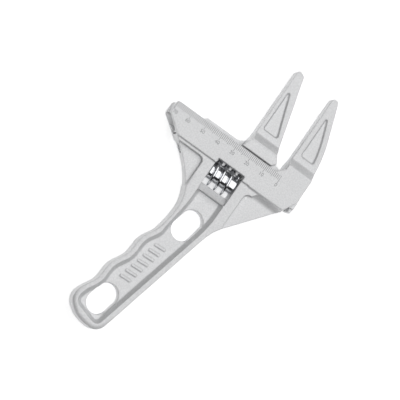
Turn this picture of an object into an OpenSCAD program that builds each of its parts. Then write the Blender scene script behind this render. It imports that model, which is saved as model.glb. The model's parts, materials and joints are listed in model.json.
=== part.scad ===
// Wide-jaw adjustable wrench: one cast body with a channelled head, a sliding jaw with a rack,
// and a worm that drives the rack. The wrench lies on its back face.
// X runs along the head towards the fixed jaw, Y towards the jaw tips, Z up through the thickness.
// X = 0 is the fixed jaw's gripping face, Y = 0 the head's top edge, Z = 0 the back face.

/* [Head] */
// Thickness of the head
head_t = 17; // [16.6:0.1:19]
// Height of the head bar, from its top edge down
bar_h = 15.5; // [15.3:0.1:16.5]
// Length of the engraved scale, which the bar carries left of the fixed jaw
scale_len = 70; // [70:1:76]
// Width of the fixed jaw at its root
fixed_w = 15.6; // [15:0.1:17]

/* [Jaws] */
// Thickness of both jaw blades
blade_t = 10.3; // [9.8:0.1:12]
// Height of the fixed jaw's tip above the head
fixed_tip = 52.2; // [48:0.2:56]
// Height of the sliding jaw's tip above the head
sliding_tip = 53.3; // [48:0.2:56]
// Gap between the jaws at their root when closed
min_opening = 6; // [6:0.1:7]
// Depth of the pocket in each face of a blade
blade_pocket = 1.2; // [0.5:0.1:2]

/* [Rack and worm] */
// Axial pitch of the worm and of the rack
pitch = 4.5; // [4.5:0.1:4.6]
// Outer radius of the worm
worm_r = 8; // [7.8:0.05:8.1]
// Height of the worm's thread and of the rack teeth
thread_h = 2.9; // [2.7:0.1:3]
// Length of the worm
worm_len = 16.8; // [16:0.1:17]
// Number of rack teeth
teeth = 19; // [15:2:19]
// Radius of the pin that the worm turns on
pin_r = 2; // [1.8:0.1:2.1]

/* [Handle] */
// Lean of the handle from the jaws' direction, in degrees
lean = 14; // [14:0.5:15]
// Thickness across the rims
rim_t = 14.4; // [13.6:0.2:15]
// Thickness of the web between the rims
web_t = 8; // [6:0.5:9]
// Width of the two slots through the web
slot_w = 13; // [12:0.1:13.2]
// Length of the two slots
slot_len = 19.3; // [16:0.1:20]

/* [Hidden] */
$fn = 64;

cast = [0.83, 0.84, 0.85];
chrome = [0.72, 0.73, 0.76];
steel = [0.6, 0.61, 0.63];

mid = head_t / 2;
eps = 0.01;
reach = 30;

// Head
bar_left = -scale_len - 0.6;
lip = 3.9;                       // corner between the head's top edge and the fixed jaw
base_top = 7.2;                  // where both jaws start to step down to blade thickness
step_z = (head_t - blade_t) / 2; // height of that step
slot_z = 9;                      // width of the channel that holds the rack
foot_z = 11.6;                   // wider lower part of the channel: its shoulders keep the jaw from lifting out
foot_y = -6.8;
floor_y = -15;                   // bottom of the channel
roof_y = -4;                     // top of the tunnel under the fixed jaw
back_r = 79;                     // radius of the fixed jaw's back
back_a = 20.5;                   // angle at which the back runs straight to the tip
back_y = 4.8;
wing_t = 9;
ledge_y = -17.3;

// Rack and worm
worm_x = -25.35;
worm_y = -19.8;
root_r = worm_r - thread_h - 0.1;
rack_root = worm_y + worm_r + 0.35;
rack_tip = rack_root - thread_h;
lead_angle = atan(pitch / (2 * PI * (worm_r - thread_h / 2)));
window_w = worm_len + 0.9;
window_low = worm_y - worm_r - 0.3;
window_top = -12.7;
crossbar_low = window_low - 4.4; // below the window a thumb ramp ends at the pocket
spring_r = 2.9;
spring_wire = 0.25;
spring_depth = 5;

// Sliding jaw
slide_t = slot_z - 0.3;
jaw_x = -24.9;                   // flat face of the sliding jaw
jaw_right = -min_opening;
base_low = 0.9;
slide_top = 2.2;
rack_end = teeth * pitch / 2;
slide_left = worm_x - rack_end + 6.7;
slide_right = worm_x + rack_end - 0.8;

// Handle: H(a, b) is a point a across and b along the handle's own axis
origin_h = [-27.8, -53.2];
across = [cos(lean), -sin(lean)];
along = [sin(lean), cos(lean)];
grip_pitch = 21.75;
grip_depth = 0.95;
right_a = 12.2;
wing_corner = [11.4, -bar_h - 1];
neck_right = [-10.6, -43.9];
rail_right = neck_right.x;

function H(a, b) = origin_h + a * across + b * along;
function H_all(list) = [for (p = list) H(p.x, p.y)];
function arc(c, r, a0, a1, n = 8) = [for (i = [0:n]) c + r * [cos(a0 + (a1 - a0) * i / n), sin(a0 + (a1 - a0) * i / n)]];
function bez(p, q, r, s, n = 10) =
    [for (i = [0:n]) let (t = i / n, u = 1 - t) u * u * u * p + 3 * u * u * t * q + 3 * u * t * t * r + t * t * t * s];

// Left side of the grip: three finger hollows between round bumps
function grip_a(b) = -9.95 - 0.035 * (-b - 16) - grip_depth * cos(360 * (b + 22.4) / grip_pitch);

// Every vertex moved inwards by d, square to its two edges
function unit(v) = v / norm(v);
function left_of(v) = [-v.y, v.x];
function inset(pts, d) = [for (i = [0:len(pts) - 1])
    let (n = len(pts), p = pts[i], e = unit(p - pts[(i + n - 1) % n]), f = unit(pts[(i + 1) % n] - p))
    p + d * (left_of(e) + left_of(f)) / (1 + e * f)];

// Solid between two outlines of the same number of points, both counter-clockwise
module loft(lower, upper, z0, z1) {
    n = len(lower);
    polyhedron(
        concat([for (p = lower) [p.x, p.y, z0]], [for (p = upper) [p.x, p.y, z1]]),
        concat([[for (i = [0:n - 1]) i]], [[for (i = [n - 1:-1:0]) i + n]],
            [for (i = [0:n - 1]) [i, i + n, (i + 1) % n + n, (i + 1) % n]]),
        convexity = 8);
}

module slab(outline, t) {
    translate([0, 0, mid - t / 2]) linear_extrude(t, convexity = 8) polygon(outline);
}

// The same shape on the front and the back
module both_faces() {
    children();
    translate([0, 0, head_t]) mirror([0, 0, 1]) children();
}

// ---- outlines ----
fixed_back = arc([fixed_w - back_r, back_y], back_r, 0, back_a, 10);
fixed_blade = concat([[0, 2], [fixed_w, 2]], fixed_back,
    arc([2.3, fixed_tip - 1.8], 1.8, back_a, 90, 5), arc([1.5, fixed_tip - 1.5], 1.5, 90, 180, 5));
fixed_pocket = concat(
    arc([4.5, 16.6], 1.5, 180, 270, 5), arc([10.3, 16.3], 1.2, 270, 360, 5),
    arc([fixed_w - back_r, back_y], back_r - 3.2, 10, back_a, 6), arc([3.7, 39.5], 0.7, back_a, 180, 5));
bar = concat([[fixed_w, -bar_h + 8.3], [fixed_w, base_top], [0, base_top], [0, lip], [-lip, 0]],
    arc([bar_left + 1.4, -1.4], 1.4, 90, 180, 4),
    [[bar_left, -7.6], [bar_left + 10.6, -bar_h], [wing_corner.x, -bar_h]]);

neck_left = bez([-60.2, -15.8], [-50, -22.5], [-38, -33], [-37.2, -46.5], 14);
neck_low = bez([-37.2, -46.5], [-37.2, -51.5], H(-8.84, -6.5), H(-8.84, -11.5), 8);
grip = [for (b = [-12.5:-2.2:-65.7]) H(grip_a(b), b)];
butt = H_all(concat(arc([-4.3, -67.2], 8.5, 180, 255, 7), arc([0.4, -51.6], 25.3, 261, 279, 3),
    arc([5.2, -69.3], 7, 285, 360, 7)));
palm = bez(H(right_a, 0), H(right_a, 5), [-13.2, -47.1], neck_right, 8);
rail_left = neck_left[10].x;
rail_top = concat(arc([rail_right + 3.2, -22.4], 3.2, 180, 80, 5),
    [[rail_right + 6.5, -bar_h + 0.2], [rail_right + 6.5, -11.5], [rail_left - 3, -11.5]],
    arc([rail_left - 3, ledge_y - 3], 3, 90, 0, 4));
rim = concat(butt, palm, rail_top, [for (i = [10:14]) neck_left[i]], [for (i = [1:8]) neck_low[i]], grip);
wings = concat([for (i = [0:10]) neck_left[i]], [[rail_left + 4, -39], [rail_right - 4, -45.5]], [neck_right, wing_corner, [wing_corner.x, -bar_h + 1], [-59, -bar_h + 1]]);
handle_pocket = concat(
    [[-34.2, crossbar_low]], bez([-34.2, -37], [-34.2, -43], H(-7.9, -1), H(-7, -8.5), 6),
    [for (b = [-12.5:-2.2:-63.5]) H(grip_a(b) + 2.6, b)],
    H_all(concat(arc([-4.9, -67.5], 5, 180, 262, 6), arc([5.6, -69.2], 3.6, 278, 360, 6))),
    bez(H(9.3, -4), H(9.3, 4), [-16.6, -46], [-16.6, -38], 6), [[-16.6, crossbar_low]]);

// ---- body ----
module blade(outline, pocket) {
    difference() {
        slab(outline, blade_t);
        both_faces() translate([0, 0, mid + blade_t / 2 - blade_pocket])
            loft(inset(pocket, 0.5), inset(pocket, -0.3), 0, blade_pocket + 0.3);
    }
}

// Bar along X from x0 to x1 whose front and back follow a curve of (run, rise) points,
// starting at y0 and running towards the sign of dir, on top of a plate of thickness t
module step_bar(x0, x1, y0, dir, curve, t) {
    translate([x0, 0, 0]) rotate([90, 0, 90]) linear_extrude(x1 - x0) polygon(concat(
        [[y0 - dir * eps, mid - t / 2 - curve[0].y]], [for (p = curve) [y0 + dir * p.x, mid - t / 2 - p.y]],
        [for (i = [len(curve) - 1:-1:0]) [y0 + dir * curve[i].x, mid + t / 2 + curve[i].y]],
        [[y0 - dir * eps, mid + t / 2 + curve[0].y]]));
}

// Easy slope from the thick root to the thinner blade
module root_slope(outline) {
    intersection() {
        slab(outline, head_t);
        step_bar(-reach, reach, base_top, 1, [[0, step_z], [1.9, step_z * 0.52], [3.4, step_z * 0.19], [4.6, -0.05]], blade_t);
    }
}

module slot_cut(a, b) {
    run = slot_len - slot_w;
    translate(concat(H(a, b), [-1])) rotate(-lean) {
        for (s = [-1, 1]) translate([0, s * run / 2, 0]) cylinder(d = slot_w, h = head_t + 2);
        translate([-slot_w / 2, -run / 2, 0]) cube([slot_w, run, head_t + 2]);
    }
}

module worm_window() {
    translate([worm_x - window_w / 2, window_low, -1]) cube([window_w, window_top - window_low, head_t + 2]);
    both_faces() translate([worm_x - window_w / 2, 0, 0]) rotate([90, 0, 90]) linear_extrude(window_w)
        polygon([[window_low + eps, mid + 3], [window_low + eps, head_t + 1],
            [crossbar_low - eps, head_t + 1], [crossbar_low - eps, mid + web_t / 2 + 1.6]]);
}

module channel() {
    translate([bar_left - 5, floor_y, mid - slot_z / 2]) cube([5 - bar_left, reach, slot_z]);
    translate([-1, floor_y, mid - slot_z / 2]) cube([reach, roof_y - floor_y, slot_z]);
    translate([bar_left - 5, rack_root - 0.15, mid - foot_z / 2])
        cube([reach + 5 - bar_left, foot_y - rack_root + 0.15, foot_z]);
}

module body() color(cast) {
    difference() {
        union() {
            slab(bar, head_t);
            blade(fixed_blade, fixed_pocket);
            root_slope(fixed_blade);
            slab(wings, wing_t);
            slab(rim, rim_t);
            intersection() {
                slab(wings, rim_t);
                translate([bar_left, ledge_y, 0]) cube([rail_left - bar_left + 4, 3, head_t]);
            }
            wing_cove();
        }
        both_faces() translate([0, 0, mid + web_t / 2]) linear_extrude(head_t) polygon(inset(handle_pocket, 0.2));
        slot_cut(0.95, 0.9);
        slot_cut(0.2, -60.1);
        worm_window();
        channel();
        translate([-58, worm_y, mid]) rotate([0, 90, 0]) cylinder(r = pin_r + 0.03, h = 47);
    }
}

// Concave step from the bar down to the right-hand wing
module wing_cove() {
    r = (head_t - wing_t) / 2;
    intersection() {
        slab(wings, head_t);
        step_bar(rail_right - 1, reach, -bar_h, -1,
            [[0, r], [0.9, r * 0.57], [1.9, r * 0.27], [3, r * 0.1], [4.3, -0.05]], wing_t);
    }
}

// ---- sliding jaw ----
function jaw_edge(y) = -8.65 - (y - 9.5) * 11.4 / 41.6;
sliding_blade = concat([[jaw_x, base_low], [jaw_right - 2, base_low], [jaw_edge(9.5), 9.5]],
    arc([jaw_edge(sliding_tip - 1.7) - 0.5, sliding_tip - 1.7], 0.5, 10, 70, 3),
    arc([jaw_x + 1.6, sliding_tip - 1.6], 1.6, 85, 180, 5));
sliding_pocket = concat(arc([-21.3, 16.5], 1.5, 180, 270, 5), arc([-14.6, 16.3], 1.3, 270, 375, 5),
    arc([-21.9, 38.7], 0.9, 15, 180, 5));
jaw_root = [[jaw_x - 2.4, base_low], [jaw_right - 2, base_low], [jaw_right, base_low + 2.1],
    [jaw_right, base_low + 2.7], [jaw_edge(9.5) + 0.4, base_top], [jaw_x, base_top], [jaw_x - 1.3, 4.2]];
slide = [[slide_left, rack_root - eps], [slide_right, rack_root - eps], [slide_right, roof_y - 0.3], [-0.3, roof_y - 0.3],
    [-0.3, slide_top], [-51, slide_top], [-54, -0.8], [slide_left + 1.5, -0.8], [slide_left, -2.3]];
foot = [[slide_left, rack_root], [slide_right, rack_root], [slide_right, foot_y - 0.15], [slide_left, foot_y - 0.15]];
left_fillet = concat([[jaw_x + 1, base_low], [jaw_x + 1, 9.2]], arc([jaw_x - 7, 9.2], 7, 360, 270, 8), [[jaw_x - 7, base_low]]);
right_fillet = concat([[-0.3, slide_top - 1]], [[-0.3, slide_top]], arc([-1.5, 9], 6.8, 270, 180, 8), [[-12, 9], [-12, slide_top - 1]]);

module tooth() {
    w_root = pitch * 0.47;
    w_tip = pitch * 0.34;
    rotate([0, lead_angle, 0]) linear_extrude(2 * slide_t, center = true)
        polygon([[-w_root / 2, 0.5], [-w_root / 2, 0], [-w_tip / 2, -thread_h], [w_tip / 2, -thread_h], [w_root / 2, 0], [w_root / 2, 0.5]]);
}

module sliding_jaw() color(cast) {
    blade(sliding_blade, sliding_pocket);
    root_slope(sliding_blade);
    slab(jaw_root, head_t - 0.6);
    slab(left_fillet, slide_t);
    slab(right_fillet, slide_t);
    slab(slide, slide_t);
    slab(foot, foot_z - 0.3);
    intersection() {
        translate([slide_left, rack_tip - 1, mid - slide_t / 2]) cube([slide_right - slide_left, thread_h + 2, slide_t]);
        for (i = [-(teeth - 1) / 2:(teeth - 1) / 2]) translate([worm_x + i * pitch, rack_root, mid]) tooth();
    }
}

// ---- worm, pin and spring: all lie on the worm's axis ----
// A coil about X: sections of (x, r) points turned and advanced by the pitch
module coil(section, turns, lead, steps, taper) {
    total = ceil(turns * steps);
    k = len(section);
    points = [for (i = [0:total]) let (t = i / total * turns, fade = min(1, min(t, turns - t) / taper + 0.02))
        for (p = section) let (r = section[0].y + (p.y - section[0].y) * fade)
            [t * lead + p.x, r * cos(t * 360), r * sin(t * 360)]];
    polyhedron(points, concat([[for (j = [0:k - 1]) j]], [[for (j = [k - 1:-1:0]) total * k + j]],
        [for (i = [0:total - 1]) for (j = [0:k - 1])
            [i * k + j, (i + 1) * k + j, (i + 1) * k + (j + 1) % k, i * k + (j + 1) % k]]), convexity = 10);
}

thread_turns = (worm_len - 2.2) / pitch;
thread_section = [[0.95, root_r - 0.3], [0.62, worm_r - 0.3], [0.3, worm_r], [-0.3, worm_r], [-0.62, worm_r - 0.3], [-0.95, root_r - 0.3]];

module worm() color(chrome) {
    translate([worm_x, worm_y, mid]) {
        difference() {
            translate([-worm_len / 2, 0, 0]) rotate([0, 90, 0]) cylinder(r = root_r, h = worm_len);
            translate([-worm_len / 2 - 1, 0, 0]) rotate([0, 90, 0]) cylinder(r = pin_r + 0.08, h = worm_len + 2);
            translate([worm_len / 2 - spring_depth, 0, 0]) rotate([0, 90, 0]) cylinder(r = spring_r + 0.6, h = spring_depth + 1);
        }
        phase = -thread_turns / 2 * pitch;
        turn_at_middle = thread_turns / 2 * 360;
        translate([phase, 0, 0]) rotate([180 - turn_at_middle, 0, 0]) coil(thread_section, thread_turns, pitch, 36, 0.12);
    }
}

module worm_pin() color(steel) {
    pin_left = worm_x - window_w / 2 - 6.5;
    pin_len = window_w + 11.5;
    difference() {
        translate([pin_left, worm_y, mid]) rotate([0, 90, 0]) cylinder(r = pin_r, h = pin_len);
        translate([pin_left - 1, worm_y - 0.4, mid - 3]) cube([2, 0.8, 6]);
    }
}

module worm_spring() color(steel) {
    turns = 5;
    seat = worm_x + worm_len / 2 - spring_depth + spring_wire + 0.05;
    span = worm_x + window_w / 2 - spring_wire - 0.03 - seat;
    ring = [for (a = [0:60:300]) [spring_wire * cos(a), spring_r + spring_wire * sin(a)]];
    translate([seat, worm_y, mid]) coil(ring, turns, span / turns, 20, 0.001);
}

body();
sliding_jaw();
worm();
worm_pin();
worm_spring();
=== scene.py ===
# %% [markdown]
# # A short wide-jaw wrench
# The tool is a plumber's adjustable wrench with a short handle: one aluminium casting with a fixed
# jaw and a channelled head, a second jaw that slides along the channel on a rack, and a plated worm
# in a window that drives the rack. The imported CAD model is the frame. It gives the places and the outer
# sizes, so what is made here is the finish of the pieces and not where they go.

# %% Load the frame
import json
import math

import bmesh
import bpy
import numpy as np
from mathutils import Matrix, Vector


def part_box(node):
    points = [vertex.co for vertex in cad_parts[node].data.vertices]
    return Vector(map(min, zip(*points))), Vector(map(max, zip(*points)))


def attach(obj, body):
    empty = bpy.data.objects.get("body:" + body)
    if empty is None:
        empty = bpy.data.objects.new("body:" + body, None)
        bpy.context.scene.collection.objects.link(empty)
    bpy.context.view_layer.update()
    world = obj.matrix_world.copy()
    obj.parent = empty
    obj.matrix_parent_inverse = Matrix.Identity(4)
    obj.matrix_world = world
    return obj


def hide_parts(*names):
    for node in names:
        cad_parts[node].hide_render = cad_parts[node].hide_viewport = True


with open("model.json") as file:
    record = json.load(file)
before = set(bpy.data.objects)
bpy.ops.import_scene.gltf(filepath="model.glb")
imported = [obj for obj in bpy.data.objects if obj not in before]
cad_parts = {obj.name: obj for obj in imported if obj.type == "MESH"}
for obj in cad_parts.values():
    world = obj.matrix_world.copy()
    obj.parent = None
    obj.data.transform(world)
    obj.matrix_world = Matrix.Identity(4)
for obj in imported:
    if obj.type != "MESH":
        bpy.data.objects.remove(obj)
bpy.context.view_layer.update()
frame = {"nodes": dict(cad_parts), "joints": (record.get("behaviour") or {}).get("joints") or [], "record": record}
record = frame["record"]
joints = {joint["name"]: joint for joint in frame["joints"]}

# %% [markdown]
# ## Where things are
# A maker marks out from a few datum lines. Here they are the front and back faces of the head, the
# middle plane, the worm's axis and the handle's own axis, which leans 14 degrees from the jaws.
# The first four are read from the frame. Lengths on the object are typed in millimetres and `MM` turns
# them to metres. Sizes inside a node tree, and of the studio, are in metres.

# %% Datum lines
MM = 0.001
LEAN = math.radians(14)
HANDLE_ORIGIN = Vector((-27.8, -53.2, 0)) * MM
ACROSS = Vector((math.cos(LEAN), -math.sin(LEAN), 0))
ALONG = Vector((math.sin(LEAN), math.cos(LEAN), 0))

body_low, body_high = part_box("body")
worm_low, worm_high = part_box("worm")
front, middle = body_high.z, (body_high.z + body_low.z) / 2
worm_axis = Vector(joints["worm_spin"]["pos_m"])
pitch = 2 * math.pi / abs(record["behaviour"]["couplings"][0]["ratio"])


def on_handle(a, b, z=0.0):
    """The point a across and b along the handle, in millimetres, at height z in metres."""
    return HANDLE_ORIGIN + (float(a) * ACROSS + float(b) * ALONG) * MM + Vector((0, 0, z))


print(f"front face at {front / MM:.1f} mm, worm axis at y {worm_axis.y / MM:.2f} mm,",
      f"pitch {pitch / MM:.2f} mm")

# %% [markdown]
# ## Camera
# The wrench lies on its back on pale paper and is seen from nearly overhead with a long lens, turned
# so that the handle runs to the lower left. The camera is placed from a viewing direction, a roll and
# an aim point, so that each of the three can be changed alone.

# %% Camera
VIEW_BACK = Vector((-0.1601, -0.1276, 1.0)).normalized()
AIM = Vector((-28.26, -36.44, 8.5)) * MM
ROLL = math.radians(34.73)
DISTANCE = 1.5
LENS, SENSOR = 247.1, 36  # both in mm

side = Vector((0, 1, 0)).cross(VIEW_BACK).normalized()
over = VIEW_BACK.cross(side)
right = math.cos(ROLL) * side + math.sin(ROLL) * over
up = math.cos(ROLL) * over - math.sin(ROLL) * side
camera = bpy.data.objects.new("camera", bpy.data.cameras.new("camera"))
camera.data.lens, camera.data.sensor_width = LENS, SENSOR
camera.data.clip_start, camera.data.clip_end = 0.05, 20
facing = Matrix((right, up, VIEW_BACK)).transposed().to_4x4()
camera.matrix_world = Matrix.Translation(AIM + DISTANCE * VIEW_BACK) @ facing
bpy.context.scene.collection.objects.link(camera)
bpy.context.scene.camera = camera
print(f"camera at {[round(v, 3) for v in camera.location]}, lens {camera.data.lens} mm")

# %% [markdown]
# ## Light and room
# The light is one very wide soft sheet overhead, leaning towards the jaws. The room gives almost no
# light from low down and more from above. Flat faces then look evenly pale, sides fall away to grey,
# and the plated worm shows the bright sheet along its top with darkness either side of it. To the
# camera itself the room is one pale backdrop, so that no dark horizon shows in a low view.


# %% Light and room
def soft_light(name, place, size, power, target=AIM):
    lamp = bpy.data.objects.new(name, bpy.data.lights.new(name, "AREA"))
    lamp.data.shape, lamp.data.size, lamp.data.energy = "DISK", size, power
    lamp.location = target + Vector(place)
    lamp.rotation_euler = (-Vector(place)).to_track_quat("-Z", "Y").to_euler()
    bpy.context.scene.collection.objects.link(lamp)


SHEET_PLACE, SHEET_WIDTH, SHEET_POWER = (0.25, 0.35, 1.75), 3.6, 47.0
ROOM_RISE = {"From Min": 0.15, "From Max": 0.55, "To Min": 0.04, "To Max": 0.75}
BACKDROP = 0.9

soft_light("overhead_sheet", SHEET_PLACE, SHEET_WIDTH, SHEET_POWER)
world = bpy.data.worlds.new("studio")
bpy.context.scene.world = world
world.use_nodes = True
nodes, link = world.node_tree.nodes, world.node_tree.links.new
where, axes = nodes.new("ShaderNodeTexCoord"), nodes.new("ShaderNodeSeparateXYZ")
rise = nodes.new("ShaderNodeMapRange")
for key, value in ROOM_RISE.items():
    rise.inputs[key].default_value = value
link(where.outputs["Generated"], axes.inputs["Vector"])
link(axes.outputs["Z"], rise.inputs["Value"])
rays, seen = nodes.new("ShaderNodeLightPath"), nodes.new("ShaderNodeMix")
seen.inputs["B"].default_value = BACKDROP
link(rays.outputs["Is Camera Ray"], seen.inputs["Factor"])
link(rise.outputs["Result"], seen.inputs["A"])
link(seen.outputs["Result"], nodes["Background"].inputs["Strength"])
bpy.context.scene.view_settings.view_transform = "Standard"
print(f"sheet {SHEET_WIDTH} m wide at {SHEET_POWER} W, backdrop {BACKDROP}")


# %% [markdown]
# ## Helpers for materials
# Each finish is a Principled BSDF with nodes in front of it. The helpers below only save typing: one
# adds a node with its values, two start a node group or a material, and one places a group in a material.

# %% Node helpers
def add(tree, kind, **values):
    node = tree.nodes.new(kind)
    for key, value in values.items():
        if key in node.inputs:
            node.inputs[key].default_value = value
        else:
            setattr(node, key, value)
    return node


def group_tree(name, inputs, outputs, kind="ShaderNodeTree"):
    tree = bpy.data.node_groups.new(name, kind)
    for label, socket, value in inputs:
        item = tree.interface.new_socket(label, in_out="INPUT", socket_type="NodeSocket" + socket)
        if value is not None:
            item.default_value = value
    for label, socket in outputs:
        tree.interface.new_socket(label, in_out="OUTPUT", socket_type="NodeSocket" + socket)
    return tree, tree.nodes.new("NodeGroupInput"), tree.nodes.new("NodeGroupOutput")


def finish_of(name, **values):
    material = bpy.data.materials.new(name)
    material.use_nodes = True
    shader = material.node_tree.nodes["Principled BSDF"]
    for key, value in values.items():
        shader.inputs[key.replace("_", " ")].default_value = value
    return material, material.node_tree, shader


def place_group(tree, group, **values):
    node = tree.nodes.new("ShaderNodeGroup")
    node.node_tree = group
    for key, value in values.items():
        node.inputs[key.replace("_", " ")].default_value = value
    return node


# %% [markdown]
# ## The blasted grain
# Shot-blasting leaves a fine, even, matt grain. It shows as tiny pits that catch the light and as a
# faint mottling of tone where the shot hit harder. Noise in Object coordinates makes both: a very fine
# one for the pits and a broad one for the mottling. The group gives a height for a Bump node, a mottle
# mask and a speckle mask of the pits themselves, and all blasted and etched surfaces use it.

# %% Shader group: blasted grain
blasted, g_in, g_out = group_tree("blasted_grain",
    [("Grain size", "Float", 900.0), ("Mottle size", "Float", 60.0), ("Mottle", "Float", 0.5)],
    [("Height", "Float"), ("Mask", "Float"), ("Speckle", "Float")])
place = add(blasted, "ShaderNodeTexCoord")
fine = add(blasted, "ShaderNodeTexNoise", Detail=3.0, Roughness=0.6)
broad = add(blasted, "ShaderNodeTexNoise", Detail=4.0, Roughness=0.55)
spread = add(blasted, "ShaderNodeMapRange", **{"From Min": 0.3, "From Max": 0.7})
weigh = add(blasted, "ShaderNodeMath", operation="MULTIPLY")
link = blasted.links.new
link(place.outputs["Object"], fine.inputs["Vector"])
link(place.outputs["Object"], broad.inputs["Vector"])
link(g_in.outputs["Grain size"], fine.inputs["Scale"])
link(g_in.outputs["Mottle size"], broad.inputs["Scale"])
link(broad.outputs["Fac"], spread.inputs["Value"])
link(spread.outputs["Result"], weigh.inputs[0])
link(g_in.outputs["Mottle"], weigh.inputs[1])
link(fine.outputs["Fac"], g_out.inputs["Height"])
speckle = add(blasted, "ShaderNodeMapRange", **{"From Min": 0.35, "From Max": 0.65})
link(fine.outputs["Fac"], speckle.inputs["Value"])
link(speckle.outputs["Result"], g_out.inputs["Speckle"])
link(weigh.outputs["Value"], g_out.inputs["Mask"])
print("group", blasted.name, "with", len(blasted.nodes), "nodes")

# %% [markdown]
# ## Painted edge highlight and corner shade
# Outer edges are painted lighter, as a painted highlight, and inner corners darker, as painted
# shade. Pointiness tells an edge from a corner on a finely divided mesh. The group widens that
# signal into two masks and breaks them up with noise, so that the painted light isn't an even
# line. Both castings use it.

# %% Shader group: painted edge highlight and corner shade
edge_light_group, g_in, g_out = group_tree("edge_highlight_and_corner_shade",
    [("Edge width", "Float", 0.03), ("Break up", "Float", 0.4)],
    [("Edge highlight", "Float"), ("Corner shade", "Float")])
shape = add(edge_light_group, "ShaderNodeNewGeometry")
place = add(edge_light_group, "ShaderNodeTexCoord")
patchy = add(edge_light_group, "ShaderNodeTexNoise", Scale=140.0, Detail=3.0)
link = edge_light_group.links.new
link(place.outputs["Object"], patchy.inputs["Vector"])
keep = add(edge_light_group, "ShaderNodeMath", operation="MULTIPLY")
link(patchy.outputs["Fac"], keep.inputs[0])
link(g_in.outputs["Break up"], keep.inputs[1])
# The first mask paints a highlight on outer edges, the second paints shade into inner corners.
for sign, socket in ((1, "Edge highlight"), (-1, "Corner shade")):
    away = add(edge_light_group, "ShaderNodeMath", operation="SUBTRACT")
    away.inputs[1 if sign > 0 else 0].default_value = 0.5
    link(shape.outputs["Pointiness"], away.inputs[0 if sign > 0 else 1])
    scaled = add(edge_light_group, "ShaderNodeMath", operation="DIVIDE")
    link(away.outputs["Value"], scaled.inputs[0])
    link(g_in.outputs["Edge width"], scaled.inputs[1])
    rough = add(edge_light_group, "ShaderNodeMath", operation="SUBTRACT", use_clamp=True)
    link(scaled.outputs["Value"], rough.inputs[0])
    link(keep.outputs["Value"], rough.inputs[1])
    link(rough.outputs["Value"], g_out.inputs[socket])
print("group", edge_light_group.name, "with", len(edge_light_group.nodes), "nodes")

# %% [markdown]
# ## The castings' finish
# Both castings are bare aluminium, blasted to a pale satin grey. The base colour shifts a little with
# the mottling, carries a painted highlight on outer edges and painted shade in inner corners, and the
# roughness drops along the highlighted edges. The two differ slightly in tone, because they were cast and blasted
# apart.


# %% Blasted aluminium
def blasted_aluminium(name, plain, mottled, pitted, wear_and_highlight, corner_shade, metallic, roughness):
    material, tree, shader = finish_of(name, Metallic=metallic, Roughness=roughness)
    grain = place_group(tree, blasted, Grain_size=1300.0, Mottle_size=70.0, Mottle=1.0)
    edge_light = place_group(tree, edge_light_group, Edge_width=0.05, Break_up=0.5)
    link = tree.links.new
    previous = None
    # The last two mixes are painted shade in inner corners and a painted highlight on outer edges.
    for mask, colour in ((grain.outputs["Mask"], mottled), (grain.outputs["Speckle"], pitted),
                         (edge_light.outputs["Corner shade"], corner_shade),
                         (edge_light.outputs["Edge highlight"], wear_and_highlight)):
        mix = add(tree, "ShaderNodeMix", data_type="RGBA")
        mix.inputs[6].default_value = (*plain, 1)
        mix.inputs[7].default_value = (*colour, 1)
        link(mask, mix.inputs[0])
        if previous:
            link(previous.outputs[2], mix.inputs[6])
        previous = mix
    link(previous.outputs[2], shader.inputs["Base Color"])
    gloss = add(tree, "ShaderNodeMapRange", **{"To Min": roughness, "To Max": roughness - 0.12})
    link(edge_light.outputs["Edge highlight"], gloss.inputs["Value"])
    link(gloss.outputs["Result"], shader.inputs["Roughness"])
    bump = add(tree, "ShaderNodeBump", Strength=0.35, Distance=0.00012)
    link(grain.outputs["Height"], bump.inputs["Height"])
    link(bump.outputs["Normal"], shader.inputs["Normal"])
    return material


# The fourth colour is the painted edge highlight, the fifth the painted corner shade.
body_finish = blasted_aluminium("blasted_aluminium_body", (0.8, 0.803, 0.81), (0.76, 0.763, 0.77),
                                (0.67, 0.674, 0.682), (0.88, 0.885, 0.89), (0.5, 0.505, 0.515), 0.3, 0.5)
jaw_finish = blasted_aluminium("blasted_aluminium_jaw", (0.79, 0.793, 0.8), (0.75, 0.754, 0.762),
                               (0.67, 0.674, 0.682), (0.88, 0.885, 0.89), (0.5, 0.505, 0.515), 0.3, 0.46)
print("castings:", body_finish.name, jaw_finish.name)

# %% [markdown]
# ## Plating, turned steel and wire
# The worm is nickel-chrome plated: nearly a mirror, with faint rings left by the turning under the
# plating. The pin and the spring are bare steel. Rings along X suit all three, since all are turned or
# coiled about the worm's axis, so one group makes them: a wave along X, roughened with noise.

# %% Shader group: turning rings
rings, g_in, g_out = group_tree("turning_rings",
    [("Ring size", "Float", 2500.0), ("Waver", "Float", 1.5)], [("Height", "Float")])
place = add(rings, "ShaderNodeTexCoord")
wave = add(rings, "ShaderNodeTexWave", wave_type="BANDS", bands_direction="X", Detail=2.0)
link = rings.links.new
link(place.outputs["Object"], wave.inputs["Vector"])
link(g_in.outputs["Ring size"], wave.inputs["Scale"])
link(g_in.outputs["Waver"], wave.inputs["Distortion"])
link(wave.outputs["Fac"], g_out.inputs["Height"])
print("group", rings.name, "with", len(rings.nodes), "nodes")

# %% [markdown]
# ## Three metals from one function
# Each of the three gets the rings as a shallow bump and a soft smudge of noise that shifts its tone and
# its gloss a little, since no handled metal is quite even. They differ in colour, in roughness and in
# how fine and how deep the rings are.


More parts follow.
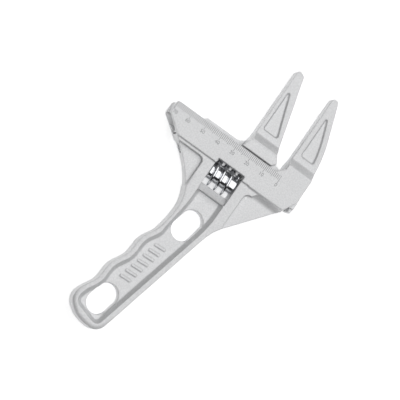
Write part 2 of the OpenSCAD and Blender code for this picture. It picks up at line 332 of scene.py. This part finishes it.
# %% Turned and plated finishes
def turned_metal(name, colour, roughness, ring_size, depth):
    material, tree, shader = finish_of(name, Metallic=1.0, Roughness=roughness)
    turned = place_group(tree, rings, Ring_size=ring_size, Waver=1.2)
    smudge = add(tree, "ShaderNodeTexNoise", Scale=260.0, Detail=3.0)
    place = add(tree, "ShaderNodeTexCoord")
    tone = add(tree, "ShaderNodeMix", data_type="RGBA")
    tone.inputs[6].default_value = (*colour, 1)
    tone.inputs[7].default_value = (*(0.86 * c for c in colour), 1)
    gloss = add(tree, "ShaderNodeMapRange", **{"To Min": roughness * 0.8, "To Max": roughness * 1.4})
    bump = add(tree, "ShaderNodeBump", Strength=depth, Distance=0.00003)
    link = tree.links.new
    link(place.outputs["Object"], smudge.inputs["Vector"])
    link(smudge.outputs["Fac"], tone.inputs[0])
    link(tone.outputs[2], shader.inputs["Base Color"])
    link(smudge.outputs["Fac"], gloss.inputs["Value"])
    link(gloss.outputs["Result"], shader.inputs["Roughness"])
    link(turned.outputs["Height"], bump.inputs["Height"])
    link(bump.outputs["Normal"], shader.inputs["Normal"])
    return material


plated = turned_metal("bright_plating", (0.78, 0.79, 0.81), 0.12, 1800.0, 0.15)
turned_steel = turned_metal("turned_steel", (0.6, 0.6, 0.61), 0.32, 2600.0, 0.5)
spring_wire = turned_metal("spring_wire", (0.5, 0.5, 0.52), 0.28, 400.0, 0.2)
print("metals:", plated.name, turned_steel.name, spring_wire.name)

# %% [markdown]
# ## From a CAD solid to a casting
# A casting has no sharp corner anywhere: sand and blasting round every edge, and the pattern needs
# fillets and draft to leave the mould. Bevelling a solid with hundreds of small faces goes wrong where
# they meet. Remeshing a copy of it into small even cells and relaxing them a little rounds all edges and
# fills all inner corners by about the same radius, as the real process does. Flat areas don't need
# so many faces, so the mesh is then thinned out.

# %% Soft casting helper
CELL = 0.0003


def copy_of_node(name, node):
    mesh = frame["nodes"][node].data.copy()
    mesh.materials.clear()
    piece = bpy.data.objects.new(name, mesh)
    bpy.context.scene.collection.objects.link(piece)
    work = bmesh.new()
    work.from_mesh(mesh)
    bmesh.ops.remove_doubles(work, verts=work.verts, dist=1e-6)
    work.to_mesh(mesh)
    work.free()
    return piece


def applied(piece):
    """The piece's mesh with its modifiers carried out, and the modifiers gone."""
    view = bpy.context.evaluated_depsgraph_get()
    view.update()
    mesh = bpy.data.meshes.new_from_object(piece.evaluated_get(view))
    piece.modifiers.clear()
    old, piece.data = piece.data, mesh
    mesh.name = piece.name
    bpy.data.meshes.remove(old)
    return piece


def joined(name, *pieces):
    """One mesh of several closed shells, which may overlap."""
    work = bmesh.new()
    for piece in pieces:
        work.from_mesh(piece.data)
        bpy.data.objects.remove(piece)
    mesh = bpy.data.meshes.new(name)
    work.to_mesh(mesh)
    work.free()
    piece = bpy.data.objects.new(name, mesh)
    bpy.context.scene.collection.objects.link(piece)
    return piece


def into_cells(piece):
    remesh = piece.modifiers.new("cells", "REMESH")
    remesh.mode, remesh.voxel_size, remesh.use_smooth_shade = "VOXEL", CELL, True
    return applied(piece)


def triangle_count(piece):
    return sum(len(face.vertices) - 2 for face in piece.data.polygons)


def relaxed(piece, passes, most_triangles):
    relax = piece.modifiers.new("relax", "SMOOTH")
    relax.factor, relax.iterations = 0.5, passes
    before = triangle_count(piece)
    if before > most_triangles:
        piece.modifiers.new("thin", "DECIMATE").ratio = most_triangles / before
    applied(piece).data.shade_smooth()
    print(f"{piece.name}: {before} triangles thinned to {triangle_count(piece)}")
    return piece


# %% [markdown]
# ## Lines of the handle
# The handle's rim and the pocket inside it follow drawn lines: arcs at the butt, finger hollows on
# the left as a cosine, and easy curves where the handle runs into the head. These are the CAD's own
# lines, drawn again because the pocket's walls and the rim's crown are shaped along them.

# %% Outlines
def arc(centre, radius, start, end, steps):
    return [(centre[0] + radius * math.cos(t), centre[1] + radius * math.sin(t))
            for t in np.radians(np.linspace(start, end, steps + 1))]


def curve(p, q, r, s, steps):
    t = np.linspace(0, 1, steps + 1)[:, None]
    p, q, r, s = (np.array(v, float) for v in (p, q, r, s))
    return [tuple(v) for v in (1 - t) ** 3 * p + 3 * (1 - t) ** 2 * t * q
            + 3 * (1 - t) * t * t * r + t ** 3 * s]


def spot(a, b):
    """The point a across and b along the handle, as (x, y) in millimetres."""
    return tuple(v / MM for v in on_handle(a, b)[:2])


FINGER_STEP, FINGER_DEPTH, RIM_WIDTH = 21.75, 0.95, 2.6


def hollow(b):
    """How far across the rim's left edge stands, b along the handle."""
    return -9.95 - 0.035 * (-b - 16) - FINGER_DEPTH * math.cos(math.radians(360 * (b + 22.4) / FINGER_STEP))


left_neck = curve((-60.2, -15.8), (-50, -22.5), (-38, -33), (-37.2, -46.5), 14)[10:]
low_neck = curve((-37.2, -46.5), (-37.2, -51.5), spot(-8.84, -6.5), spot(-8.84, -11.5), 8)[1:]
butt = (arc((-4.3, -67.2), 8.5, 180, 255, 7) + arc((0.4, -51.6), 25.3, 261, 279, 3)
        + arc((5.2, -69.3), 7, 285, 360, 7))
palm = curve(spot(12.2, 0), spot(12.2, 5), (-13.2, -47.1), (-10.6, -43.9), 8)
rim_line = ([spot(*p) for p in butt] + palm + [(-10.6, -20), (left_neck[0][0], -20)]
            + left_neck + low_neck + [spot(hollow(b), b) for b in np.arange(-12.5, -65.5, -2.2)])
pocket_butt = arc((-4.9, -67.5), 5, 180, 262, 6) + arc((5.6, -69.2), 3.6, 278, 360, 6)
pocket_top = worm_low.y / MM - 4.4
pocket_line = ([(-34.2, pocket_top)] + curve((-34.2, -37), (-34.2, -43), spot(-7.9, -1), spot(-7, -8.5), 6)
               + [spot(hollow(b) + RIM_WIDTH, b) for b in np.arange(-12.5, -63.6, -2.2)]
               + [spot(*p) for p in pocket_butt]
               + curve(spot(9.3, -4), spot(9.3, 4), (-16.6, -46), (-16.6, -38), 6) + [(-16.6, pocket_top)])
print(f"rim line of {len(rim_line)} points, pocket line of {len(pocket_line)}")

# %% [markdown]
# ## Draft in the pocket
# The pattern had to leave the sand, so the pocket's walls slope: wide at the mouth, narrower at the web.
# A strip with a wedge-shaped section is laid along the pocket line, from one end of the thumb ramp round
# the butt to the other, and grows together with the casting when that is cut into cells. It is made once
# for the front and once, mirrored, for the back.

# %% Sloped walls
def inwards(line, distance):
    """An open line moved to its left by distance, square to both edges at each point."""
    points = np.array(line)
    edges = np.diff(points, axis=0)
    edges /= np.linalg.norm(edges, axis=1)[:, None]
    before, after = np.vstack([edges[:1], edges]), np.vstack([edges, edges[-1:]])
    turned = np.stack([-(before + after)[:, 1], (before + after)[:, 0]], 1)
    return points + distance * turned / (1 + (before * after).sum(1))[:, None]


def strip(name, line, section):
    """A closed bar along an open line. The section is points of (distance inwards, height), in mm."""
    work = bmesh.new()
    runs = [[work.verts.new((x * MM, y * MM, middle + height * MM)) for x, y in inwards(line, distance)]
            for distance, height in section]
    for lower, upper in zip(runs, runs[1:] + runs[:1]):
        for k in range(len(line) - 1):
            work.faces.new((lower[k], lower[k + 1], upper[k + 1], upper[k]))
    for k in (0, -1):
        work.faces.new([run[k] for run in runs])
    bmesh.ops.recalc_face_normals(work, faces=work.faces)
    mesh = bpy.data.meshes.new(name)
    work.to_mesh(mesh)
    work.free()
    piece = bpy.data.objects.new(name, mesh)
    bpy.context.scene.collection.objects.link(piece)
    return piece


WEB, RIM = 4.0, 7.2
SLOPE = [(-0.3, WEB - 0.6), (-0.3, RIM - 0.5), (0.1, RIM - 0.25), (0.9, (WEB + RIM) / 2 + 0.1),
         (2.1, WEB - 0.05), (2.1, WEB - 0.6)]
walls = [strip(f"wall_{side}", pocket_line, [(distance, side * height) for distance, height in SLOPE])
         for side in (1, -1)]
print("walls:", [triangle_count(wall) for wall in walls], "triangles")

# %% [markdown]
# ## Raised bars on the web
# The web carries a raised pattern between the two slots. A plain row of slanted bars fills the place:
# one bar repeated along the handle is a job for Geometry Nodes, with named inputs for its sizes.


# %% Geometry Nodes helpers
def shape_tree(name, inputs):
    sockets = [("Geometry", "Geometry", None)] + inputs
    return group_tree(name, sockets, [("Geometry", "Geometry")], "GeometryNodeTree")


def grown(name, tree, **values):
    """A plain mesh grown by a Geometry Nodes tree, with its named inputs set."""
    piece = bpy.data.objects.new(name, bpy.data.meshes.new(name))
    bpy.context.scene.collection.objects.link(piece)
    nodes = piece.modifiers.new("grow", "NODES")
    nodes.node_group = tree
    for item in tree.interface.items_tree:
        if item.in_out == "INPUT" and item.name in values:
            nodes[item.identifier] = values[item.name]
    return applied(piece)


# %% [markdown]
# ## One bar, repeated
# The tree needs only a line of points, a box on each of them and a finish. The points step along the
# handle and one slant turns every box alike, so the whole pattern changes by a few named values.

# %% Bar pattern
bars_tree, g_in, g_out = shape_tree("raised_bars",
    [("Count", "Int", 7), ("Spacing", "Float", 0.0042), ("Size", "Vector", (0.0066, 0.0013, 0.001)),
     ("Slant", "Vector", (0.0, 0.0, 0.3)), ("Finish", "Material", None)])
row = add(bars_tree, "GeometryNodeMeshLine", mode="OFFSET")
step = add(bars_tree, "ShaderNodeCombineXYZ")
bar = add(bars_tree, "GeometryNodeMeshCube")
place_bars = add(bars_tree, "GeometryNodeInstanceOnPoints")
real = add(bars_tree, "GeometryNodeRealizeInstances")
coat = add(bars_tree, "GeometryNodeSetMaterial")
link = bars_tree.links.new
link(g_in.outputs["Count"], row.inputs["Count"])
link(g_in.outputs["Spacing"], step.inputs["Y"])
link(step.outputs["Vector"], row.inputs["Offset"])
link(g_in.outputs["Size"], bar.inputs["Size"])
link(row.outputs["Mesh"], place_bars.inputs["Points"])
link(bar.outputs["Mesh"], place_bars.inputs["Instance"])
link(g_in.outputs["Slant"], place_bars.inputs["Rotation"])
link(place_bars.outputs["Instances"], real.inputs["Geometry"])
link(real.outputs["Geometry"], coat.inputs["Geometry"])
link(g_in.outputs["Finish"], coat.inputs["Material"])
link(coat.outputs["Geometry"], g_out.inputs["Geometry"])
BARS, BAR_STEP, BAR_SIZE = 7, 4.2 * MM, (6.6 * MM, 1.3 * MM, 1.0 * MM)
bars = grown("web_bars", bars_tree, Count=BARS, Spacing=BAR_STEP, Size=BAR_SIZE, Finish=body_finish)
first_bar = on_handle(0.1, -43.4, middle + (WEB + 0.05) * MM)
bars.data.transform(Matrix.Translation(first_bar) @ Matrix.Rotation(-LEAN, 4, "Z"))
bars.data.materials.clear()
print("bars:", triangle_count(bars), "triangles")

# %% [markdown]
# ## The body
# The body is one casting: head, fixed jaw, ribs, wings and handle. A copy of the CAD node, the sloped
# walls and the bars are cut into cells together. Before the surface is relaxed, the rim gets its crown:
# its top falls away towards the outer edge, as a hand expects, by pressing heights down near the line.


# %% Crowned rim
CROWN_WIDTH, CROWN_DROP = 1.3, 0.15
BUTT_WIDTH, BUTT_DROP = 1.4, 0.25
BODY_TRIANGLES = 190000


def distance_to_line(points, line):
    """The shortest distance from each point to a closed line, in the plane of the head."""
    shortest = np.full(len(points), np.inf)
    corners = np.array(line)
    for a, b in zip(corners, np.roll(corners, -1, 0)):
        edge = b - a
        t = np.clip(((points - a) @ edge) / (edge @ edge), 0, 1)
        gap = points - a - t[:, None] * edge
        shortest = np.minimum(shortest, (gap * gap).sum(1))
    return np.sqrt(shortest)


def crown_rim(piece):
    """Presses the rim's top down near its line, more and wider round the butt."""
    count = len(piece.data.vertices)
    flat = np.empty(count * 3, np.float32)
    piece.data.vertices.foreach_get("co", flat)
    co = flat.reshape(-1, 3).astype(float)
    along = (co[:, :2] / MM - np.array(HANDLE_ORIGIN[:2]) / MM) @ np.array(ALONG[:2])
    butt_end = np.clip((-60 - along) / 12, 0, 1)
    width = CROWN_WIDTH + BUTT_WIDTH * butt_end
    gap = distance_to_line(co[:, :2] / MM, rim_line)
    height = (co[:, 2] - middle) / MM
    fade = np.clip((-24 - co[:, 1] / MM) / 8, 0, 1) * np.clip((np.abs(height) - 3) / 2, 0, 1)
    press = fade * np.clip(1 - gap / width, 0, 1) ** 2 * (CROWN_DROP + BUTT_DROP * butt_end) * width / RIM
    co[:, 2] = middle + height * (1 - press) * MM
    piece.data.vertices.foreach_set("co", co.astype(np.float32).ravel())
    print(f"crown: {int((press > 0).sum())} of {count} points pressed, at most {press.max() * RIM:.2f} mm")


body = into_cells(joined("body_casting", copy_of_node("blank", "body"), *walls, bars))
crown_rim(body)
body = relaxed(body, 6, BODY_TRIANGLES)
body.data.materials.append(body_finish)
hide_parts("body")
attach(body, "frame")

# %% [markdown]
# ## The sliding jaw
# The jaw, its slide and the rack are one casting too, with the teeth cut afterwards. They keep crisper
# edges than the body, so it is relaxed less.

# %% Jaw casting
JAW_TRIANGLES = 120000
jaw = relaxed(into_cells(copy_of_node("jaw_casting", "sliding_jaw")), 4, JAW_TRIANGLES)
jaw.data.materials.append(jaw_finish)
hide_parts("sliding_jaw")
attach(jaw, "jaw")

# %% [markdown]
# ## The worm
# The worm is a thin, rounded thread on a plain core. The thread follows a rule, so Geometry Nodes grow
# it: a spiral of constant radius carries a rounded blade-shaped profile, which fades in and out at the
# ends where the cutter ran off. Its foot is sunk a little into the core, so that no gap shows.

# %% Thread
THREAD_HEIGHT, RUN_OUT = 3.0 * MM, 2.2 * MM
CREST_ROUNDING, SINK = 0.49, 0.42  # shares of the crest's width and of the blade's depth

thread_tree, g_in, g_out = shape_tree("worm_thread",
    [("Turns", "Float", 3.2), ("Pitch", "Float", 0.0045), ("Root radius", "Float", 0.005),
     ("Depth", "Float", 0.003), ("Foot", "Float", 0.002), ("Crest", "Float", 0.0007),
     ("Finish", "Material", None)])
spiral = add(thread_tree, "GeometryNodeCurveSpiral", Resolution=96)
spiral.inputs["Reverse"].default_value = True
length = add(thread_tree, "ShaderNodeMath", operation="MULTIPLY")
blade = add(thread_tree, "GeometryNodeCurvePrimitiveQuadrilateral", mode="TRAPEZOID")
blade.inputs["Offset"].default_value = 0.0
rounded = add(thread_tree, "GeometryNodeFilletCurve", mode="POLY")
rounded.inputs["Count"].default_value = 5
half = add(thread_tree, "ShaderNodeMath", operation="MULTIPLY")
half.inputs[1].default_value = CREST_ROUNDING
lift = add(thread_tree, "ShaderNodeMath", operation="MULTIPLY")
lift.inputs[1].default_value = SINK
shift = add(thread_tree, "ShaderNodeCombineXYZ")
stand = add(thread_tree, "GeometryNodeTransform", Rotation=(0, 0, -math.pi / 2))
normal = add(thread_tree, "GeometryNodeSetCurveNormal")
normal.mode = "Z_UP"
where = add(thread_tree, "GeometryNodeSplineParameter")
fade = add(thread_tree, "ShaderNodeFloatCurve")
for x, y in ((0.04, 1.0), (0.96, 1.0)):
    fade.mapping.curves[0].points.new(x, y)
fade.mapping.curves[0].points[0].location = (0.0, 0.25)
fade.mapping.curves[0].points[-1].location = (1.0, 0.25)
fade.mapping.update()
sweep = add(thread_tree, "GeometryNodeCurveToMesh")
sweep.inputs["Fill Caps"].default_value = True
real = add(thread_tree, "GeometryNodeRealizeInstances")
coat = add(thread_tree, "GeometryNodeSetMaterial")
link = thread_tree.links.new
link(g_in.outputs["Turns"], spiral.inputs["Rotations"])
link(g_in.outputs["Turns"], length.inputs[0])
link(g_in.outputs["Pitch"], length.inputs[1])
link(length.outputs["Value"], spiral.inputs["Height"])
for end in ("Start Radius", "End Radius"):
    link(g_in.outputs["Root radius"], spiral.inputs[end])
link(g_in.outputs["Foot"], blade.inputs["Bottom Width"])
link(g_in.outputs["Crest"], blade.inputs["Top Width"])
link(g_in.outputs["Depth"], blade.inputs["Height"])
link(blade.outputs["Curve"], rounded.inputs["Curve"])
link(g_in.outputs["Crest"], half.inputs[0])
link(half.outputs["Value"], rounded.inputs["Radius"])
link(g_in.outputs["Depth"], lift.inputs[0])
link(lift.outputs["Value"], shift.inputs["X"])
link(rounded.outputs["Curve"], stand.inputs["Geometry"])
link(shift.outputs["Vector"], stand.inputs["Translation"])
link(spiral.outputs["Curve"], normal.inputs["Curve"])
link(normal.outputs["Curve"], sweep.inputs["Curve"])
link(where.outputs["Factor"], fade.inputs["Value"])
link(fade.outputs["Value"], sweep.inputs["Scale"])
link(stand.outputs["Geometry"], sweep.inputs["Profile Curve"])
link(sweep.outputs["Mesh"], real.inputs["Geometry"])
link(real.outputs["Geometry"], coat.inputs["Geometry"])
link(g_in.outputs["Finish"], coat.inputs["Material"])
link(coat.outputs["Geometry"], g_out.inputs["Geometry"])
worm_length = worm_high.x - worm_low.x
crest = (worm_high.z - worm_low.z) / 2
turns = (worm_length - RUN_OUT) / pitch
thread = grown("thread", thread_tree, Turns=turns, Pitch=pitch, Depth=3.2 * MM, Foot=2.5 * MM,
               Crest=1.25 * MM, **{"Root radius": crest - THREAD_HEIGHT}, Finish=plated)
half_turns = math.pi * turns
thread.data.transform(Matrix.Translation(worm_axis - Vector((turns * pitch / 2, 0, 0)))
                      @ Matrix.Rotation(1.5 * math.pi - half_turns, 4, "X")
                      @ Matrix.Rotation(math.pi / 2, 4, "Y"))
print(f"thread of {turns:.2f} turns, {triangle_count(thread)} triangles")

# %% [markdown]
# ## The worm's core
# The core is a closed profile spun about the worm's axis, as it would be turned on a lathe. The frame
# gives its sizes: the bore clears the pin, and the deeper seat at the right end takes the spring. Core
# and thread overlap and become one piece.


# %% Core
def lathe(name, profile, steps=72):
    """A closed ring turned about the worm's axis. The profile is points of (x, radius), in metres."""
    work = bmesh.new()
    rounds = []
    for k in range(steps):
        t = 2 * math.pi * k / steps
        rounds.append([work.verts.new(worm_axis + Vector((x, r * math.cos(t), r * math.sin(t))))
                       for x, r in profile])
    for here, there in zip(rounds, rounds[1:] + rounds[:1]):
        for k in range(len(profile)):
            n = (k + 1) % len(profile)
            work.faces.new((here[k], here[n], there[n], there[k]))
    bmesh.ops.recalc_face_normals(work, faces=work.faces)
    mesh = bpy.data.meshes.new(name)
    work.to_mesh(mesh)
    work.free()
    piece = bpy.data.objects.new(name, mesh)
    bpy.context.scene.collection.objects.link(piece)
    return piece


pin_low, pin_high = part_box("worm_pin")
spring_low, spring_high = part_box("worm_spring")
CLEARANCE = 0.1 * MM
bore = (pin_high.z - pin_low.z) / 2 + CLEARANCE
seat = (spring_high.z - spring_low.z) / 2 + CLEARANCE
end, root, corner = worm_length / 2, crest - THREAD_HEIGHT, 0.35 * MM
seat_floor = spring_low.x - worm_axis.x - 0.05 * MM
core = lathe("core", [(-end, bore), (-end, root - corner), (-end + corner, root), (end - corner, root),
                      (end, root - corner), (end, seat), (seat_floor, seat), (seat_floor, bore)])
worm = joined("worm_plated", core, thread)
worm.data.materials.clear()
worm.data.materials.append(plated)
for face in worm.data.polygons:
    face.material_index = 0
worm.data.shade_smooth()
worm.data.set_sharp_from_angle(angle=math.radians(38))
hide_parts("worm")
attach(worm, "knurl")
print("worm:", triangle_count(worm), "triangles, seat", round(seat / MM, 2), "mm")

# %% [markdown]
# ## The scale
# A millimetre scale is etched along the front of the head, from the fixed jaw's face to the left, with
# a number at every ten. One tick repeated with a length that depends on its place is again a rule for
# Geometry Nodes: the remainders of its place by five and by ten choose the length.

# %% Ticks
ticks_tree, g_in, g_out = shape_tree("scale_ticks",
    [("Count", "Int", 71), ("Step", "Float", 0.001), ("Short", "Float", 0.0031),
     ("Middling", "Float", 0.0006), ("Long", "Float", 0.001),
     ("Line", "Vector", (0.00024, 1.0, 0.00016)), ("Finish", "Material", None)])
row = add(ticks_tree, "GeometryNodeMeshLine", mode="OFFSET")
back = add(ticks_tree, "ShaderNodeMath", operation="MULTIPLY")
back.inputs[1].default_value = -1.0
offset = add(ticks_tree, "ShaderNodeCombineXYZ")
tick = add(ticks_tree, "GeometryNodeMeshCube")
hang = add(ticks_tree, "GeometryNodeTransform", Translation=(0, -0.5, 0))
index = add(ticks_tree, "GeometryNodeInputIndex")
link = ticks_tree.links.new
total = None
for every, label in ((5, "Middling"), (10, "Long")):
    rest = add(ticks_tree, "ShaderNodeMath", operation="MODULO")
    rest.inputs[1].default_value = every
    chosen = add(ticks_tree, "ShaderNodeMath", operation="LESS_THAN")
    chosen.inputs[1].default_value = 0.5
    extra = add(ticks_tree, "ShaderNodeMath", operation="MULTIPLY_ADD")
    link(index.outputs["Index"], rest.inputs[0])
    link(rest.outputs["Value"], chosen.inputs[0])
    link(chosen.outputs["Value"], extra.inputs[0])
    link(g_in.outputs[label], extra.inputs[1])
    link(total.outputs["Value"] if total else g_in.outputs["Short"], extra.inputs[2])
    total = extra
lengths = add(ticks_tree, "ShaderNodeCombineXYZ", X=1.0, Z=1.0)
place_ticks = add(ticks_tree, "GeometryNodeInstanceOnPoints")
real = add(ticks_tree, "GeometryNodeRealizeInstances")
coat = add(ticks_tree, "GeometryNodeSetMaterial")
link(g_in.outputs["Count"], row.inputs["Count"])
link(g_in.outputs["Step"], back.inputs[0])
link(back.outputs["Value"], offset.inputs["X"])
link(offset.outputs["Vector"], row.inputs["Offset"])
link(g_in.outputs["Line"], tick.inputs["Size"])
link(tick.outputs["Mesh"], hang.inputs["Geometry"])
link(row.outputs["Mesh"], place_ticks.inputs["Points"])
link(hang.outputs["Geometry"], place_ticks.inputs["Instance"])
link(total.outputs["Value"], lengths.inputs["Y"])
link(lengths.outputs["Vector"], place_ticks.inputs["Scale"])
link(place_ticks.outputs["Instances"], real.inputs["Geometry"])
link(real.outputs["Geometry"], coat.inputs["Geometry"])
link(g_in.outputs["Finish"], coat.inputs["Material"])
link(coat.outputs["Geometry"], g_out.inputs["Geometry"])

etched, tree, shader = finish_of("etched_marks", Metallic=0.3, Roughness=0.6)
grain = place_group(tree, blasted, Grain_size=900.0, Mottle_size=300.0, Mottle=1.0)
wear_and_highlight = add(tree, "ShaderNodeMix", data_type="RGBA")
wear_and_highlight.inputs[6].default_value, wear_and_highlight.inputs[7].default_value = (0.2, 0.2, 0.21, 1), (0.42, 0.42, 0.43, 1)
tree.links.new(grain.outputs["Mask"], wear_and_highlight.inputs[0])
tree.links.new(wear_and_highlight.outputs[2], shader.inputs["Base Color"])

ticks = grown("ticks", ticks_tree, Finish=etched)
surface = max(v.co.z for v in body.data.vertices) - 0.05 * MM
ticks.data.transform(Matrix.Translation((0, -0.3 * MM, surface)))
print("ticks:", triangle_count(ticks), "triangles")

# %% [markdown]
# ## Figures on the scale
# The numbers are plain figures about two millimetres high, standing towards the jaws. Each is set as
# text, made into a mesh, and only then joined to the ticks. The last would hang over the bar's left
# end, so it is held back to stay on the metal.

# %% Figures
FIGURE_SIZE, FIGURE_Y, LAST_FIGURE_X = 2.9 * MM, -6.3 * MM, -68.4
figures = []
for tens in range(8):
    text = bpy.data.curves.new(f"figure_{tens}", "FONT")
    text.body, text.size, text.extrude = str(10 * tens), FIGURE_SIZE, 0.08 * MM
    text.align_x, text.align_y, text.resolution_u = "CENTER", "CENTER", 3
    loose = bpy.data.objects.new(text.name, text)
    bpy.context.scene.collection.objects.link(loose)
    view = bpy.context.evaluated_depsgraph_get()
    mesh = bpy.data.meshes.new_from_object(loose.evaluated_get(view))
    bpy.data.objects.remove(loose)
    mesh.transform(Matrix.Translation((max(-10 * tens, LAST_FIGURE_X) * MM, FIGURE_Y, surface)))
    figure = bpy.data.objects.new(f"figure_{tens}", mesh)
    bpy.context.scene.collection.objects.link(figure)
    figures.append(figure)
marks = joined("scale_marks", ticks, *figures)
marks.data.materials.clear()
marks.data.materials.append(etched)
for face in marks.data.polygons:
    face.material_index = 0
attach(marks, "frame")
print("scale marks:", triangle_count(marks), "triangles")

# %% [markdown]
# ## Pin and spring
# The pin is ground steel rod with a screwdriver slot, and the spring is wire. The CAD shapes are already
# right, so they are carried over and only get their finishes.

# %% Carried-over metal parts
for node, material in (("worm_pin", turned_steel), ("worm_spring", spring_wire)):
    mesh = frame["nodes"][node].data
    mesh.materials.clear()
    mesh.materials.append(material)
    print(node, "finished with", material.name)

# %% [markdown]
# ## The floor
# The floor is white paper that glows a little, as on a light table. It keeps the slots through the
# handle bright, where the sheet overhead can't reach.

# %% Floor
paper, tree, shader = finish_of("pale_paper", Roughness=0.9, Emission_Strength=0.5)
shader.inputs["Base Color"].default_value = (0.9, 0.9, 0.9, 1)
shader.inputs["Emission Color"].default_value = (1, 1, 1, 1)
bpy.ops.mesh.primitive_plane_add(size=6, location=(0, 0, 0))
floor = bpy.context.object
floor.name = "floor"
floor.data.materials.append(paper)
print("floor:", floor.name, "with", paper.name)
